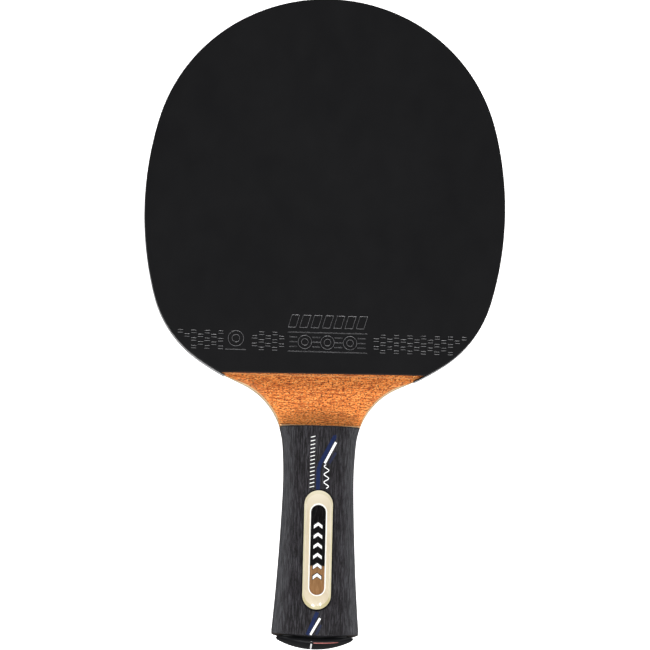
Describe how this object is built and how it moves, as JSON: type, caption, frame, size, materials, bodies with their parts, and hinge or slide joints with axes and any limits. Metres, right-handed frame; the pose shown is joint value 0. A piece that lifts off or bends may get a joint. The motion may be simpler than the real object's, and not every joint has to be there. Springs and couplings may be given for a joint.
{
  "type": "table tennis paddle",
  "caption": "Table tennis paddle with a laminated wooden blade, rubber-faced sponge on both sides, an edge tape, and a flared black grip with an oval lens and a domed butt cap.",
  "frame": {"origin": "under the middle of the paddle's box, at the height of the lowest line of the back half of the grip, which is the level that the paddle lies on", "axes": "+Z out of the black front rubber, at right angles to the blade; +Y from the butt to the crown of the head; +X across the blade to the right when the front is seen with the handle down"},
  "size_m": [0.1506, 0.2722, 0.0249],
  "materials": {
    "core_wood": "bare, fine grain",
    "inner_wood": "bare, pale, end grain shows at the edge",
    "face_wood": "speckled veneer, thin satin sealer",
    "glue": "cured film",
    "sponge": "fine open foam at the cut edge",
    "black_rubber": "matte, slightly tacky",
    "red_rubber": "matte, slightly tacky",
    "tape": "satin, with fine silver pinstripes",
    "grip_wood": "black stain in open grain, satin",
    "cream_plastic": "gloss, rounded edges",
    "plate": "gloss, dark at one end and brown at the other",
    "cap_plastic": "gloss"
  },
  "bodies": {
    "root": {"core_ply": "core_wood", "front_inner_ply": "inner_wood", "back_inner_ply": "inner_wood", "front_face_veneer": "face_wood", "back_face_veneer": "face_wood", "front_glue_film": "glue", "back_glue_film": "glue", "front_sponge": "sponge", "back_sponge": "sponge", "front_topsheet": "black_rubber", "back_topsheet": "red_rubber", "edge_tape": "tape", "front_handle_scale": "grip_wood", "back_handle_scale": "grip_wood", "lens_bezel": "cream_plastic", "lens_insert": "plate", "butt_cap": "cap_plastic"}
  },
  "joints": []
}
